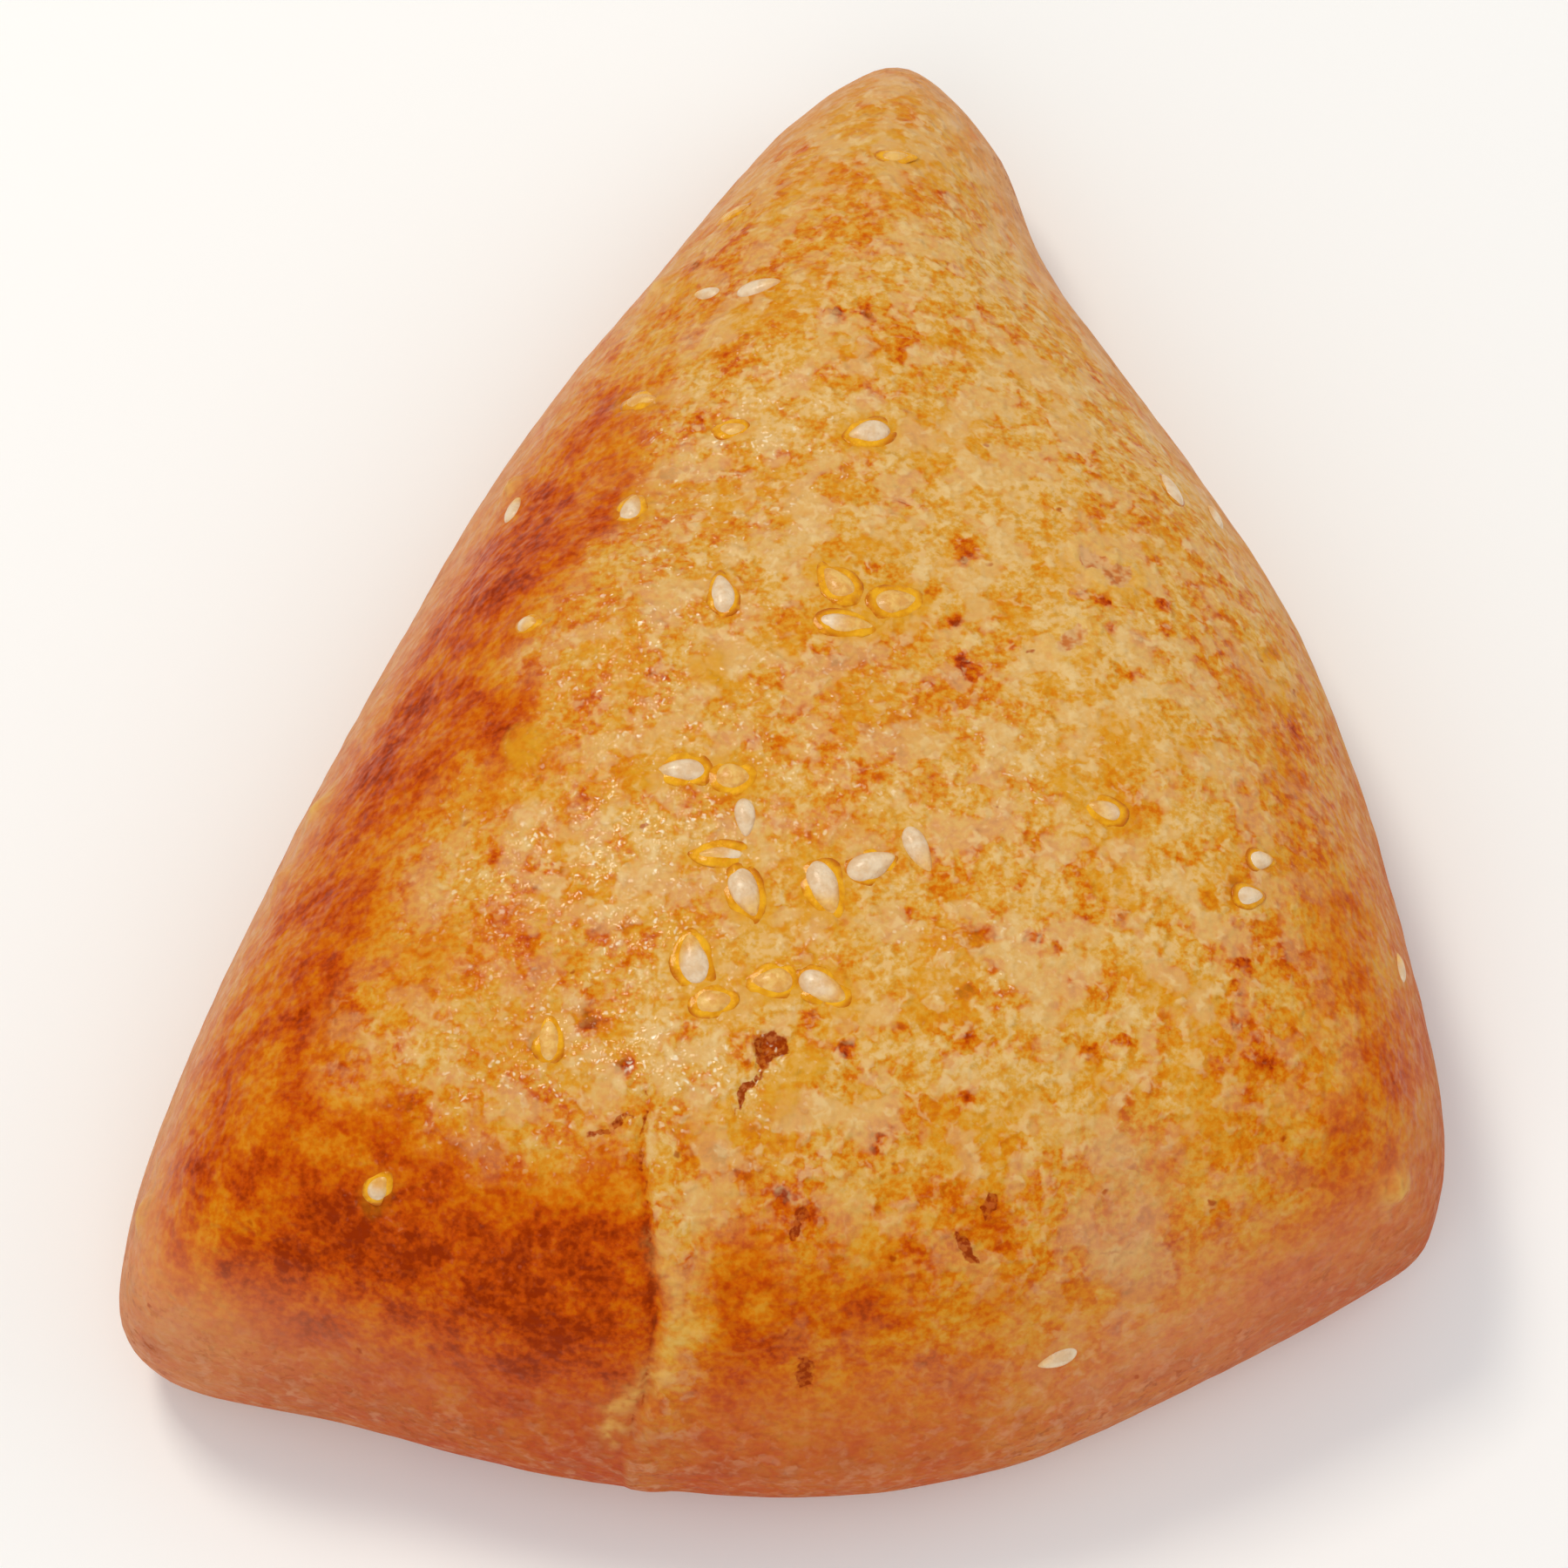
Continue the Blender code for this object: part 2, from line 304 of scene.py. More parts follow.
def clearance(places, line):
    """How far inside the line each place is: exact beside the line, and smooth where the sides meet."""
    total = np.zeros(len(places))
    for start, end in zip(line, np.roll(line, -1, axis=0)):
        length = np.hypot(*(end - start))
        along = (end - start) / length
        spoke = start - places
        off = np.maximum(np.abs(spoke[:, 0] * along[1] - spoke[:, 1] * along[0]), 0.001 * MM)
        near = spoke @ along
        far = near + length
        total += (far / np.hypot(far, off) - near / np.hypot(near, off)) / off**2
    return (total / 2) ** -0.5


def pastry_points(turn, latitude):
    """The plain pastry by turn round the crown and latitude: 0 is the belly line, and 90 degrees the crown.

    With each point comes its clearance from the belly line, as a share of the crown's.
    """
    line = belly_line()
    spokes = line - CROWN
    turns = np.arctan2(spokes[:, 1], spokes[:, 0])
    belly = np.interp(turn, turns, np.hypot(*spokes.T), period=math.tau)

    under = np.clip(-latitude / (math.pi / 2), 0, 1)
    round_off = np.minimum(under / HEM_SHARE, 1) * math.pi / 2
    foot_ring = (belly - HEM_INSET * (1 - np.cos(round_off))) * np.minimum((1 - under) / (1 - HEM_SHARE), 1)
    foot_height = BELLY_HEIGHT * (1 - np.sin(round_off))

    out = np.cos(latitude)
    ring = np.where(latitude < 0, foot_ring, out * (CROWN_ROUND * (1 - out) + belly * out))
    places = CROWN + ring[:, None] * np.stack((np.cos(turn), np.sin(turn)), axis=1)

    # within a millimetre or so of the line the way straight out is steadier than the smooth clearance
    tangents = np.roll(line, -1, axis=0) - np.roll(line, 1, axis=0)
    slants = np.abs(spokes[:, 0] * tangents[:, 1] - spokes[:, 1] * tangents[:, 0])
    slants /= np.hypot(*spokes.T) * np.hypot(*tangents.T)
    straight = (belly - ring) * np.interp(turn, turns, slants, period=math.tau)
    share = np.clip((belly - ring) / MM - 0.5, 0, 1)
    free = clearance(places, line) * share + straight * (1 - share)
    inside = np.minimum(free / clearance(CROWN[None], line), 1)
    wall = np.sqrt(1 - (1 - inside) ** 2)
    swell = 1 - (ring / belly) ** 2
    along = np.clip((places[:, 1] - CROWN[1]) / (50 * MM - CROWN[1]), 0, 1)
    dome = (wall + (swell - wall) * SWELL_SHARE) * (1 - NOSE_DROP * along**1.5)
    top_height = BELLY_HEIGHT + (CROWN_HEIGHT - BELLY_HEIGHT) * dome
    return np.column_stack((places, np.where(latitude < 0, foot_height, top_height))), inside


# ---------------------------------------------------------------- measures on the skin


def ease(values, low, high):
    """0 below low, 1 above high, and smooth between."""
    share = np.clip((values - low) / (high - low), 0, 1)
    return share * share * (3 - 2 * share)


def bell(values, wide):
    """1 at 0, falling away smoothly over about the width given."""
    return np.exp(-((values / wide) ** 2))


def grain(points, width, seed):
    """Smooth noise from -1 to 1, with features about as wide as width."""
    return np.array([noise.noise(Vector(point)) for point in points / width + seed])


def from_line(places, line_mm):
    """Distance seen from above to a line of straight stretches, negative on its left."""
    line = np.array(line_mm) * MM
    nearest = np.full(len(places), 1.0)
    for start, end in zip(line, line[1:]):
        stretch = end - start
        spoke = places - start
        share = np.clip(spoke @ stretch / (stretch @ stretch), 0, 1)
        away = np.hypot(*(spoke - share[:, None] * stretch).T)
        side = np.sign(spoke[:, 0] * stretch[1] - spoke[:, 1] * stretch[0])
        closer = away < np.abs(nearest)
        nearest[closer] = (away * side)[closer]
    return nearest


def from_oval(places, x, y, half_length, half_width, heading):
    """0 at the middle of an oval and 1 on its edge, for places seen from above in metres."""
    spoke = places - np.array((x, y)) * MM
    c, s = math.cos(math.radians(heading)), math.sin(math.radians(heading))
    along = spoke[:, 0] * c + spoke[:, 1] * s
    across = spoke[:, 1] * c - spoke[:, 0] * s
    return np.hypot(along / (half_length * MM), across / (half_width * MM))


def from_spot(points, x, y):
    """Distance to the point of the upper skin that is at (x, y) seen from above."""
    off = np.hypot(points[:, 0] - x * MM, points[:, 1] - y * MM) + (points[:, 2] < BELLY_HEIGHT)
    return np.linalg.norm(points - points[np.argmin(off)], axis=1)


def patches(points, ragged, wanted):
    """Soft patches, each (x, y, radius, amount), laid over one another without ever passing 1."""
    clear = np.ones(len(points))
    for x, y, radius, amount in wanted:
        clear *= 1 - amount * bell(from_spot(points, x, y) + ragged * radius / 3, radius * MM)
    return 1 - clear


# ---------------------------------------------------------------- pieces


def deselect():
    """Leave nothing selected, so that the next operator acts on its own piece alone."""
    bpy.ops.object.select_all(action="DESELECT")


def set_points(piece, points):
    """Move every vertex of a piece."""
    piece.data.vertices.foreach_set("co", np.asarray(points, dtype=np.float32).ravel())
    piece.data.update()


def get_each(piece, what):
    """A triple for every vertex of a piece: its place (co) or its normal."""
    flat = np.empty(len(piece.data.vertices) * 3, dtype=np.float32)
    piece.data.vertices.foreach_get(what, flat)
    return flat.reshape(-1, 3).astype(float)


def note(piece, **numbers):
    """Keep numbers for each vertex, for a material to read."""
    for name, values in numbers.items():
        layer = piece.data.attributes.new(name, "FLOAT", "POINT")
        layer.data.foreach_set("value", np.clip(values, 0, 1).astype(np.float32))


def cube_skin():
    """A cube cut into a fine grid, which becomes the crust."""
    deselect()
    bpy.ops.mesh.primitive_cube_add(size=2)
    crust = bpy.context.object
    crust.name = crust.data.name = "crust"
    bpy.ops.object.mode_set(mode="EDIT")
    bpy.ops.mesh.select_all(action="SELECT")
    bpy.ops.mesh.subdivide(number_cuts=SKIN_CUTS)
    bpy.ops.mesh.subdivide(number_cuts=1)
    bpy.ops.object.mode_set(mode="OBJECT")
    return crust


def lay_out(crust):
    """Where each point of the cut cube goes on the pastry: its turn round the crown, and its latitude.

    The tangent spreads the squares evenly over a ball, and the belly line lies low on it, because most of
    what shows is the top.
    """
    ball = np.tan(get_each(crust, "co") * math.pi / 4)
    ball /= np.linalg.norm(ball, axis=1)[:, None]
    turn = np.arctan2(ball[:, 1], ball[:, 0])
    latitude = np.degrees(np.arcsin(np.clip(ball[:, 2], -1, 1))) - BELLY_LATITUDE
    latitude /= np.where(latitude > 0, 90 - BELLY_LATITUDE, 90 + BELLY_LATITUDE)
    return turn, latitude * math.pi / 2


def wash_marks(places, shaken, upper):
    """The egg wash: how near a seed each place is, how washed it is, and how far the pools rise."""
    under_seed, washed, rise = np.zeros((3, len(places)))
    for x, y, heading, length, width, _, pool in SEEDS:
        away = from_oval(places + shaken * 0.4, x, y, length / 2, width / 2, heading)
        np.maximum(under_seed, 1 - ease(away, 1.2, 2.2), out=under_seed)
        np.maximum(washed, (1 - ease(away, 1.2, 1.7 + 0.5 * pool)) * min(1, 1.6 * pool), out=washed)
    for x, y, half_length, half_width, heading in POOLS:
        away = from_oval(places + shaken, x, y, half_length, half_width, heading)
        filled = upper * (1 - ease(away, 0.75, 1.15))
        np.maximum(washed, filled, out=washed)
        rise += POOL_SWELL * filled
    return under_seed, washed, rise


def hole_marks(places, frayed, top):
    """The tears and the peels: how torn and how peeled each place is, the lips of the peels, and the rise."""
    torn, peeled, lipped, rise = np.zeros((4, len(places)))
    for holes, marked in ((TEARS, torn), (PEELS, peeled)):
        for x, y, half_length, half_width, heading, depth in holes:
            away = from_oval(places + frayed, x, y, half_length, half_width, heading)
            lip = bell(away - 1.5, 0.45)
            rise += (0.12 * lip - depth * (1 - ease(away, 0.45, 1.15))) * MM * top
            np.maximum(marked, (1 - away / 2) * top, out=marked)  # a half at the very edge
            np.maximum(lipped, lip * (marked is peeled), out=lipped)
    return torn, peeled, lipped, rise


def split_marks(places, shaken, off_foot):
    """The split in the front: distance from it, its gap, the dough stretched beside it, and the rise."""
    split = from_line(places + shaken * 0.6, SPLIT_MM)
    gap = bell(split, SPLIT_WIDE) * off_foot
    stretched = bell(from_line(places + shaken, STRETCHED_MM), 0.6 * MM) * off_foot
    rise = SPLIT_LIP * bell(split - 1.2 * MM, 0.9 * MM) * off_foot - SPLIT_DEEP * gap - 0.12 * MM * stretched
    return split, gap, stretched, rise


def nub_marks(plain):
    """The small beads of dough: how much of one each point is, and the rise."""
    beaded, rise = np.zeros((2, len(plain)))
    for x, y, radius, height in NUBS:
        bead = bell(from_spot(plain, x, y), radius * MM)
        rise += height * MM * bead
        np.maximum(beaded, bead, out=beaded)
    return beaded, rise


def by_turn(turn, rows, column=1):
    """What a column of rows gives, each row for a direction, at every turn round the crown."""
    columns = np.array(rows).T
    return np.interp(np.degrees(turn), columns[0], columns[column], period=360)


def oven_marks(plain, turn, inside, ragged, split, off_foot):
    """How brown each point is: by its place, in toasted patches, and paler where the dough parted late."""
    shoulder, belly = (by_turn(turn, BAKE_ROUND, column) for column in (1, 2))
    away = np.where(inside > SHOULDER_AT, CROWN_BAKE, belly)
    browned = away + (shoulder - away) * bell(inside - SHOULDER_AT, SHOULDER_WIDE)
    browned = 1 - (1 - browned) * (1 - patches(plain, ragged, TOASTED))
    late = ease(split, -0.2 * MM, 0.3 * MM) * bell(split - 1.5 * MM, 2.4 * MM + ragged * 0.4)
    browned -= 0.26 * late * off_foot * ease(-plain[:, 1], 32 * MM, 40 * MM)
    under = 1 - ease(plain[:, 2], UNDER_FULL, UNDER_END)
    return browned + (UNDER_BAKE - browned) * under


def make_crust():
    """The whole pastry without its seeds, from a cube cut into a fine grid."""
    crust = cube_skin()
    turn, latitude = lay_out(crust)
    plain, inside = pastry_points(turn, latitude)
    set_points(crust, plain)
    normals = get_each(crust, "normal")
    places = plain[:, :2]
    top = np.clip((plain[:, 2] - LUMPS_FROM) / (LUMPS_FULL - LUMPS_FROM), 0, 1)
    upper = ease(plain[:, 2], UPPER_FROM, UPPER_FULL)
    off_foot = ease(plain[:, 2], FOOT_FROM, FOOT_CLEAR)
    wall = 1 - ease(plain[:, 2], WALL_FULL, WALL_END)
    shaken = np.column_stack([grain(plain, 1.4 * MM, seed) for seed in (71.0, 82.0)]) * 0.5 * MM
    frayed = shaken + np.column_stack([grain(plain, 0.5 * MM, seed) for seed in (73.0, 84.0)]) * 0.3 * MM
    ragged = grain(plain, 4 * MM, 41.0) * 2.0 * MM

    under_seed, washed, pool_rise = wash_marks(places, shaken, upper)
    torn, peeled, lipped, hole_rise = hole_marks(places, frayed, top)
    split, gap, stretched, split_rise = split_marks(places, shaken, off_foot)
    beaded, nub_rise = nub_marks(plain)
    lumps = sum(height * grain(plain, width, seed) for width, height, seed in LUMPS)
    wrinkles = sum(height * grain(plain, width, seed) for width, height, seed in WRINKLES)
    rise = top * lumps + wrinkles * off_foot * (0.45 + 0.55 * top) * (1 - 0.8 * under_seed)
    rise += pool_rise + hole_rise + split_rise + nub_rise
    set_points(crust, plain + normals * rise[:, None])

    note(
        crust,
        browned=oven_marks(plain, turn, inside, ragged, split, off_foot) + 0.15 * gap,
        mottled=(0.7 + 0.3 * ease(inside, 0.02, 0.22)) * (1 - 0.5 * ease(places[:, 1], 28 * MM, 42 * MM)),
        wall=wall,
        # the walls' pale edge is partly painted sheen, and their red flush below is partly painted shade
        paled=(1 - ease(inside, 0, PALE_SHEEN_WIDE)) * off_foot * by_turn(turn, PALE_SHEEN_ROUND),
        flushed=wall * by_turn(turn, FLUSH_SHADE_ROUND),
        torn=np.maximum(torn, 0.53 * gap),
        peeled=peeled,
        stretched=np.maximum.reduce((stretched, beaded, 0.8 * lipped)),
        washed=washed * upper,
        glazed=patches(plain, ragged, GLAZED),
        greyed=patches(plain, ragged, GREYED),
    )
    deselect()
    crust.select_set(True)
    bpy.ops.object.shade_smooth()
    return crust


def drop(size, turns, rings):
    """A ball along X, drawn in towards +X and flattened to the three sizes given, before its points are set.

    With it come its points, and how far along it each of them is, from 0 to 1.
    """
    deselect()
    bpy.ops.mesh.primitive_uv_sphere_add(segments=turns, ring_count=rings, radius=0.5)
    made = bpy.context.object
    bpy.ops.object.mode_set(mode="EDIT")
    bpy.ops.mesh.select_all(action="SELECT")
    bpy.ops.transform.rotate(value=math.pi / 2, orient_axis="Y", center_override=(0, 0, 0))
    bpy.ops.transform.resize(value=size, center_override=(0, 0, 0))
    bpy.ops.object.mode_set(mode="OBJECT")
    points = get_each(made, "co")
    along = np.clip(points[:, 0] / size[0] + 0.5, 0, 1)
    narrow = BLUNT_END - POINT_DRAWN * along**1.6
    points[:, 1] *= narrow
    points[:, 2] *= 0.9 + 0.1 * narrow
    return made, points, along


def lay(piece, crust, x, y, heading, sink):
    """Put a piece made round the origin onto the crust at (x, y), its +X turned to the heading."""
    _, spot, normal, _ = crust.ray_cast(Vector((x * MM, y * MM, 2 * CROWN_HEIGHT)), Vector((0, 0, -1)))
    ahead = Vector((math.cos(math.radians(heading)), math.sin(math.radians(heading)), 0))
    ahead = (ahead - normal * ahead.dot(normal)).normalized()
    turned = Matrix((ahead, normal.cross(ahead), normal)).transposed().to_4x4()
    piece.data.transform(Matrix.Translation(spot - normal * sink) @ turned)


def join(pieces, name):
    """Make one smooth piece of many."""
    deselect()
    for piece in pieces:
        piece.select_set(True)
    bpy.context.view_layer.objects.active = pieces[0]
    bpy.ops.object.join()
    bpy.ops.object.shade_smooth()
    joined = bpy.context.object
    joined.name = joined.data.name = name
    return joined


def make_seeds(crust):
    """All the sesame seeds, as one piece."""
    dice = random.Random(7)
    laid = []
    for x, y, heading, length, width, wash, pool in SEEDS:
        thick = width * SEED_THICKNESS
        seed, points, along = drop((length * MM, width * MM, thick * MM), SEED_TURNS, SEED_RINGS)
        points[:, 1] += length * MM * dice.uniform(-0.12, 0.12) * (along - 0.5) ** 2
        points *= 1 + 0.05 * grain(points, length * 0.45 * MM, dice.uniform(0, 90))[:, None]
        set_points(seed, points)
        covered = 1.2 * wash + 1.1 * (along - 0.5) + 0.3 * grain(points, 0.9 * MM, dice.uniform(0, 90))
        covered += min(0.75, 1.2 * pool) * (1 - np.clip(points[:, 2] / (thick * MM / 2), 0, 1)) ** 2
        note(seed, washed=ease(covered, 0.15, 0.75) * min(1, 0.3 + 4 * wash))
        lay(seed, crust, x, y, heading, thick * MM * (0.10 + 0.12 * wash))
        laid.append(seed)
    return join(laid, "sesame_seeds")


def make_pools(crust):
    """The egg wash that pooled and browned round the seeds, as one piece."""
    dice = random.Random(19)
    laid = []
    for x, y, heading, length, width, _, pool in SEEDS:
        if not pool:
            continue
        spread = 0.35 + 0.75 * pool
        size = ((length + spread) * MM, (width + spread) * MM, POOL_THICKNESS)
        made, points, _ = drop(size, POOL_TURNS, POOL_RINGS)
        out = np.hypot(points[:, 0] / size[0], points[:, 1] / size[1]) * 2
        points += 0.16 * MM * np.column_stack([grain(points, 1.0 * MM, dice.uniform(0, 90)) for _ in "xyz"])
        set_points(made, points)
        note(made, rim=ease(out, 0.72, 0.98))
        lay(made, crust, x, y, heading, POOL_THICKNESS * 0.18)
        laid.append(made)
    return join(laid, "egg_wash_pools")


# ---------------------------------------------------------------- materials


def colour(hex_code):
    """An sRGB hex value as linear colour with alpha."""
    parts = [int(hex_code[i : i + 2], 16) / 255 for i in (1, 3, 5)]
    return (*(part / 12.92 if part <= 0.04045 else ((part + 0.055) / 1.055) ** 2.4 for part in parts), 1.0)


def plug(tree, sockets, feeds):
    """Fill sockets, each with a number, a colour code or another node's output."""
    for socket, feed in zip(sockets, feeds):
        if isinstance(feed, bpy.types.NodeSocket):
            tree.links.new(feed, socket)
        else:
            socket.default_value = colour(feed) if isinstance(feed, str) else feed


def add(tree, kind, *feeds, out=0, **settings):
    """Add a shader node and give back an output: feeds fill its inputs in order, and settings go by name."""
    node = tree.nodes.new("ShaderNode" + kind)
    named = {name: value for name, value in settings.items() if not hasattr(node, name)}
    for name in settings.keys() - named.keys():
        setattr(node, name, settings[name])
    plug(tree, [socket for socket in node.inputs if socket.enabled], feeds)
    plug(tree, [node.inputs[name.replace("_", " ")] for name in named], named.values())
    return [socket for socket in node.outputs if socket.enabled][out]


def times(tree, first, second):
    """One value times another."""
    return add(tree, "Math", first, second, operation="MULTIPLY")


def new_material(name, **constants):
    """A Principled material with the shader's own values set: the material, its tree and its shader."""
    made = bpy.data.materials.new(name)
    made.use_nodes = True
    shader = made.node_tree.nodes["Principled BSDF"]
    plug(made.node_tree, [shader.inputs[key.replace("_", " ")] for key in constants], constants.values())
    return made, made.node_tree, shader


def clouds(tree, where, width, low, high, to_low=0.0, to_high=1.0, detail=2.0):
    """Soft blotches about width millimetres wide: noise from low to high, spread from to_low to to_high."""
    cloud = add(tree, "TexNoise", where, Scale=1 / (width * MM), Detail=detail, Roughness=0.6)
    return add(tree, "MapRange", cloud, low, high, to_low, to_high, interpolation_type="SMOOTHSTEP")


def dabs(tree, where, apart, share, wide, to_high=1.0):
    """Round soft spots in a share of the cells of a scatter, whose cells are apart millimetres wide."""
    off = add(tree, "TexVoronoi", where, Scale=1 / (apart * MM))
    chance = add(tree, "SeparateColor", off.node.outputs["Color"])
    chosen = add(tree, "MapRange", chance, 1 - share, 1 - share + 0.2, 0.0, to_high)
    spot = add(tree, "MapRange", off, wide, wide * 0.35, 0.0, 1.0, interpolation_type="SMOOTHSTEP")
    return times(tree, spot, chosen)


def shake(tree, where, width, amount):
    """Coordinates pushed about by noise, so that a pattern in them loses its regular outlines."""
    push = add(tree, "TexNoise", where, Scale=1 / (width * MM), Detail=2.0, Roughness=0.75, out=1)
    centred = add(tree, "VectorMath", push, (0.5, 0.5, 0.5), operation="SUBTRACT")
    return add(tree, "VectorMath", centred, (amount * MM,) * 3, where, operation="MULTIPLY_ADD")


def bumps(tree, *layers):
    """Fine relief, coarse to fine: each layer is a height pattern and its height in millimetres."""
    normal = None
    for pattern, height in layers:
        under = {"Normal": normal} if normal else {}
        normal = add(tree, "Bump", Height=pattern, Distance=height * MM, **under)
    return normal


def kept(tree, name):
    """A number kept for each vertex."""
    return add(tree, "Attribute", attribute_name=name, out=2)


BAKE = (  # the crust's colour, from pale to dark
    (0.00, "#DEB26E"),
    (0.20, "#D6A042"),
    (0.36, "#D48F28"),
    (0.50, "#D27B11"),
    (0.64, "#CB6304"),
    (0.80, "#BC4604"),
    (1.00, "#8C2600"),
)
DARKEST = 0.98  # the darkest bake that it may show


def toasted_colour(tree, where, loose, browned, fair, dull):
    """The bake's own colour: uneven at every size, with toasted spots that crowd in loose groups.

    dull tells where it stays paler, and by how much.
    """
    groups = times(tree, clouds(tree, where, 11, 0.36, 0.62, 0.30, 1.0, detail=1), fair)
    gritty = add(tree, "MapRange", browned, 0.34, 0.62, 1.0, 0.5)  # calmer where it is dark
    blotchy = add(tree, "MapRange", browned, 0.34, 0.62, 1.0, 0.7)  # a little calmer there
    mottle = clouds(tree, loose, 6, 0.3, 0.7, -0.11, 0.11)
    for part in (
        times(tree, clouds(tree, loose, 2.4, 0.3, 0.7, -0.18, 0.18), blotchy),
        times(tree, clouds(tree, where, 0.5, 0.3, 0.7, -0.20, 0.20), gritty),
        times(tree, dabs(tree, loose, 3.0, 0.45, 0.50, 0.36), groups),
        times(tree, dabs(tree, loose, 1.9, 0.50, 0.50, 0.50), groups),
    ):
        mottle = add(tree, "Math", mottle, part, operation="ADD")
    level = add(tree, "Math", mottle, kept(tree, "mottled"), browned, operation="MULTIPLY_ADD")
    for paler, by in dull:
        level = add(tree, "Math", paler, -by, level, operation="MULTIPLY_ADD")
    ramp = add(tree, "ValToRGB", add(tree, "Math", level, DARKEST, operation="MINIMUM"))
    stops = ramp.node.color_ramp.elements
    for place, hex_code in BAKE[1:-1]:
        stops.new(place).color = colour(hex_code)
    stops[0].color, stops[-1].color = colour(BAKE[0][1]), colour(BAKE[-1][1])
    return ramp


def tinted(tree, shade, *tints):
    """A colour with tints laid over it in turn: where each shows, how strongly, and its own colour."""
    for cover, strength, hex_code in tints:
        shade = add(tree, "Mix", times(tree, cover, strength), shade, hex_code, data_type="RGBA")
    return shade


def baked_dough():
    """Baked wheat dough under egg wash: golden, with toasted spots, satin on top and dull on the sides."""
    made, tree, shader = new_material(
        "baked_egg_washed_dough",
        Coat_Roughness=0.08,
        Coat_IOR=1.7,
        IOR=1.45,
        Specular_IOR_Level=0.12,
        Specular_Tint="#F2A85A",
    )
    where = add(tree, "TexCoord", out=3)
    loose = shake(tree, where, 1.3, 1.3)
    wall, greyed = kept(tree, "wall"), kept(tree, "greyed")
    rugged = clouds(tree, where, 0.7, 0.2, 0.8, -0.12, 0.12)
    torn, peeled = (
        add(tree, "MapRange", add(tree, "Math", kept(tree, name), rugged, operation="ADD"), 0.47, 0.57)
        for name in ("torn", "peeled")
    )

    browned = kept(tree, "browned")
    fair = add(tree, "MapRange", browned, 0.34, 0.64, 1.0, 0.0)  # 1 on the golden crown, 0 on dark shoulders
    wash = times(tree, kept(tree, "washed"), clouds(tree, where, 1.1, 0.3, 0.6, 0.35, 1.0))
    stretched = times(tree, kept(tree, "stretched"), clouds(tree, where, 1.1, 0.35, 0.6, 0.3))
    bloom = times(tree, clouds(tree, loose, 3.0, 0.49, 0.60), fair)
    wisps = times(tree, clouds(tree, loose, 1.1, 0.50, 0.70), fair)
    yolk = times(tree, clouds(tree, loose, 5.5, 0.50, 0.62), fair)
    blotched = times(tree, clouds(tree, loose, 2.2, 0.46, 0.68), wall)
    chalky = times(tree, clouds(tree, loose, 1.1, 0.48, 0.74), wall)
    dry = add(tree, "Math", wall, greyed, operation="MAXIMUM")
    spotted = times(tree, dry, clouds(tree, loose, 7, 0.38, 0.60, 0.15, detail=1))
    freckled = times(tree, clouds(tree, loose, 0.7, 0.54, 0.68), spotted)
    glazed = times(tree, kept(tree, "glazed"), add(tree, "MapRange", browned, 0.3, 0.65, 1.0, 0.05))
    glazed = times(tree, glazed, clouds(tree, where, 1.6, 0.40, 0.60))
    # painted glints: tiny pale dots where the wash is glassy, standing for highlights of the window light
    beads = times(tree, dabs(tree, loose, 0.5, 0.7, 0.36), glazed)
    shade = tinted(
        tree,
        toasted_colour(tree, where, loose, browned, fair, ((wall, 0.06), (greyed, 0.15))),
        (yolk, 0.50, "#D69017"),  # yolk-yellow where the wash lies thick
        (bloom, 0.60, "#DCB374"),
        (wisps, 0.55, "#E6C88E"),
        (wash, 0.75, "#D6961E"),
        (kept(tree, "paled"), 0.72, "#D99A76"),  # the side walls' pale pink edge, dry and dull: partly its own lighter bake, partly a painted sheen of grazing window light
        # redder, darker side walls: partly their own deeper bake, partly painted shade on walls facing away
        # from the window light
        (kept(tree, "flushed"), 0.60, "#AE4428"),
        (blotched, 0.44, "#AC5A30"),
        (freckled, 0.62, "#A04A24"),
        (chalky, 0.26, "#E2AE88"),
        (greyed, 0.60, "#CB9C72"),
        (stretched, 0.70, "#E2B35B"),  # dough that stretched open late and stayed pale
        (peeled, 0.60, "#D6A678"),
        (times(tree, peeled, clouds(tree, where, 0.9, 0.40, 0.62)), 0.80, "#BE5E14"),
        (torn, 0.80, "#B24C16"),  # crumb inside the tears
        (times(tree, torn, clouds(tree, where, 0.5, 0.42, 0.58)), 0.75, "#8A2800"),
        (beads, 1.00, "#FFF2D2"),  # painted glints: tiny pale dots standing for highlights on the glassy wash
        (dabs(tree, loose, 2.2, 0.20, 0.14), 0.80, "#A03400"),  # burnt flecks
    )

    gloss = add(tree, "MapRange", add(tree, "Math", dry, torn, operation="MAXIMUM"), 0.1, 0.8, 1.0, 0.0)
    patchy = clouds(tree, where, 1.2, 0.35, 0.65, 0.54, 0.76)
    rough = add(tree, "Math", gloss, -0.2, patchy, operation="MULTIPLY_ADD")
    coat = times(tree, gloss, add(tree, "MapRange", glazed, 0.0, 1.0, 0.0, 0.5))
    skin = clouds(tree, where, 1.1, 0.1, 0.9, detail=1)
    pores = clouds(tree, where, 0.45, 0.1, 0.9, detail=0)
    film = clouds(tree, where, 0.5, 0.1, 0.9, detail=1)
    relief, wet = bumps(tree, (skin, 0.23), (pores, 0.04)), bumps(tree, (film, 0.13))
    feeds = {
        "Base Color": shade,
        "Roughness": rough,
        "Coat Weight": coat,
        "Normal": relief,
        "Coat Normal": wet,
    }
    plug(tree, [shader.inputs[name] for name in feeds], feeds.values())
    return made


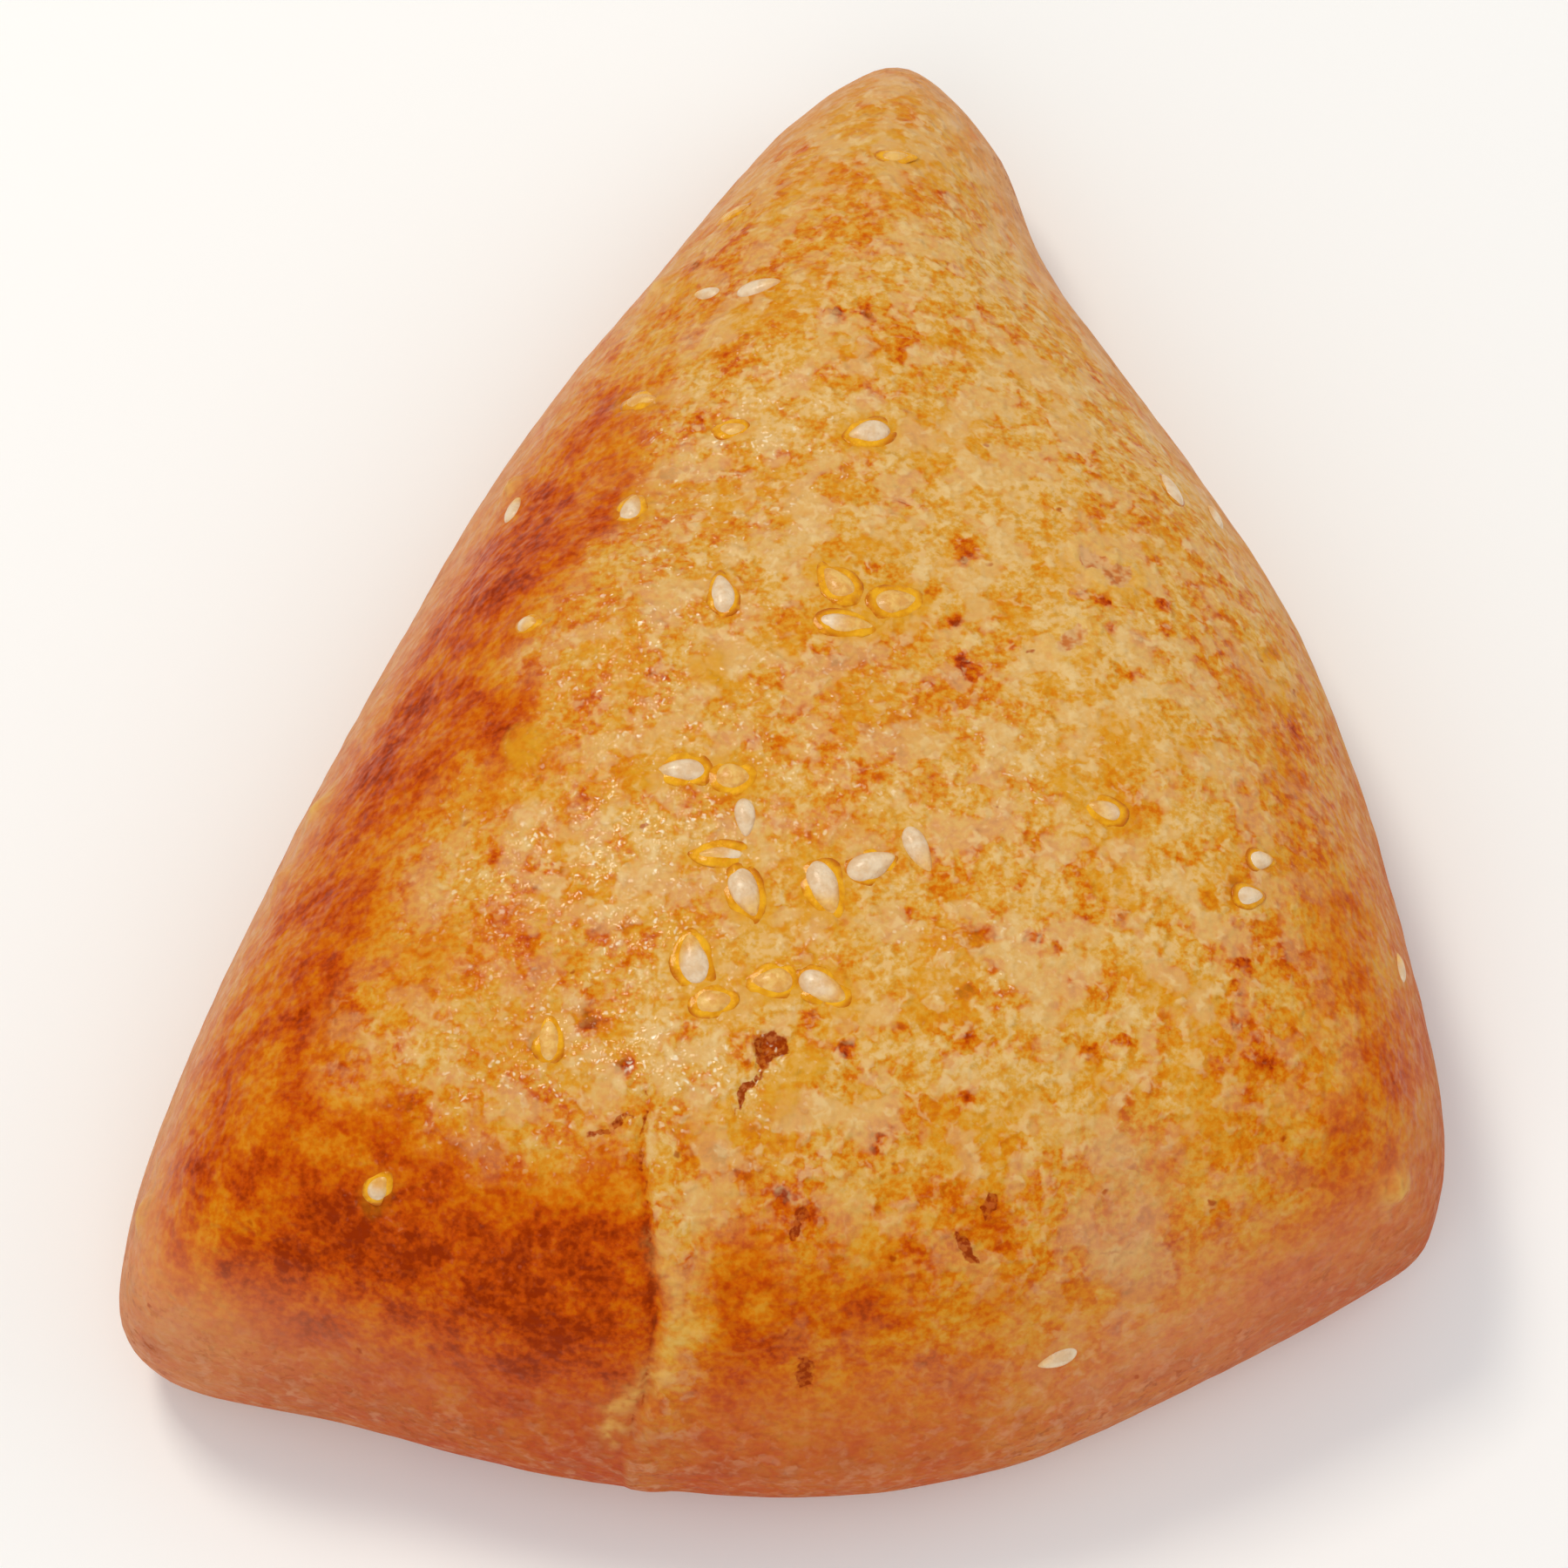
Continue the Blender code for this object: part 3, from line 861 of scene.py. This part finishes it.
def hulled_sesame():
    """Hulled sesame, baked: cream and waxy, turning amber where egg wash covers it."""
    made, tree, shader = new_material(
        "hulled_sesame",
        Roughness=0.42,
        IOR=1.47,
        Coat_Weight=0.25,
        Coat_Roughness=0.15,
        Subsurface_Weight=0.05,
        Subsurface_Radius=(1.0, 0.7, 0.35),
        Subsurface_Scale=0.6 * MM,
    )
    where = add(tree, "TexCoord", out=3)
    cream = add(tree, "Mix", clouds(tree, where, 0.8, 0.35, 0.65), "#E6CDAA", "#DAB68A", data_type="RGBA")
    amber = add(tree, "Mix", clouds(tree, where, 0.7, 0.35, 0.65), "#E8B85E", "#DA9A3C", data_type="RGBA")
    shade = add(tree, "Mix", kept(tree, "washed"), cream, amber, data_type="RGBA")
    relief = bumps(tree, (clouds(tree, where, 0.5, 0.2, 0.8), 0.06))
    plug(tree, [shader.inputs["Base Color"], shader.inputs["Normal"]], [shade, relief])
    return made


def dried_wash():
    """Egg wash dried to a glassy amber film, deepest in colour at its rim."""
    made, tree, shader = new_material(
        "dried_egg_wash",
        Roughness=0.3,
        IOR=1.5,
        Specular_IOR_Level=0.3,
        Specular_Tint="#F2A85A",
        Coat_Weight=0.2,
        Coat_Roughness=0.08,
    )
    where = add(tree, "TexCoord", out=3)
    amber = add(tree, "Mix", clouds(tree, where, 1.0, 0.35, 0.65), "#EAAA1C", "#D88E08", data_type="RGBA")
    rim = times(tree, kept(tree, "rim"), clouds(tree, where, 0.9, 0.30, 0.55))
    shade = add(tree, "Mix", rim, amber, "#BC6404", data_type="RGBA")
    relief = bumps(tree, (clouds(tree, where, 0.6, 0.2, 0.8), 0.08))
    plug(tree, [shader.inputs["Base Color"], shader.inputs["Normal"]], [shade, relief])
    return made


def clothe(piece, material):
    """Give a piece its material and tie it to the frame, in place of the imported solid."""
    piece.data.materials.clear()
    piece.data.materials.append(material)
    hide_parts("sfiha")
    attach(piece, "root")


crust = make_crust()
seeds = make_seeds(crust)
pools = make_pools(crust)
clothe(crust, baked_dough())
clothe(seeds, hulled_sesame())
clothe(pools, dried_wash())

# ---------------------------------------------------------------- floor, light and camera


def aim(thing, place, target):
    """Stand a lamp or the camera at a place, facing the target."""
    bpy.context.scene.collection.objects.link(thing)
    thing.location = place
    thing.rotation_euler = (Vector(target) - Vector(place)).to_track_quat("-Z", "Y").to_euler()


def soft_light(name, place, size, power, hex_code):
    """A square studio softbox aimed at the pastry."""
    lamp = bpy.data.lights.new(name, "AREA")
    lamp.size = size
    lamp.energy = power
    lamp.color = colour(hex_code)[:3]
    aim(bpy.data.objects.new(name, lamp), place, (0, 0, 15 * MM))


deselect()
bpy.ops.mesh.primitive_plane_add(size=3.0)
floor = bpy.context.object
floor.name = "floor"
floor.data.materials.append(new_material("pale_paper", Base_Color="#F8F8F7", Roughness=0.9)[0])

soft_light("window", (-0.22, 0.24, 0.56), 0.16, 1.5, "#FFF6E6")
soft_light("front", (-0.14, -0.50, 0.42), 0.60, 1.2, "#FFFFFF")
soft_light("side", (0.50, 0.08, 0.32), 0.50, 0.5, "#FFFFFF")
world = bpy.data.worlds.new("studio")
bpy.context.scene.world = world
world.use_nodes = True
plug(world.node_tree, world.node_tree.nodes["Background"].inputs, ["#FCFDFF", 0.56])
bpy.context.scene.view_settings.view_transform = "Standard"

LOOKS_AT = Vector((-0.1, -4.9, 12.0)) * MM
RISES = math.radians(65)  # the camera looks down this steeply along +Y
STANDS_OFF = 380 * MM
camera = bpy.data.objects.new("camera", bpy.data.cameras.new("camera"))
aim(camera, LOOKS_AT + Vector((0, -math.cos(RISES), math.sin(RISES))) * STANDS_OFF, LOOKS_AT)
camera.data.sensor_width = 36
camera.data.lens = 133
camera.data.clip_start = 0.01
bpy.context.scene.camera = camera
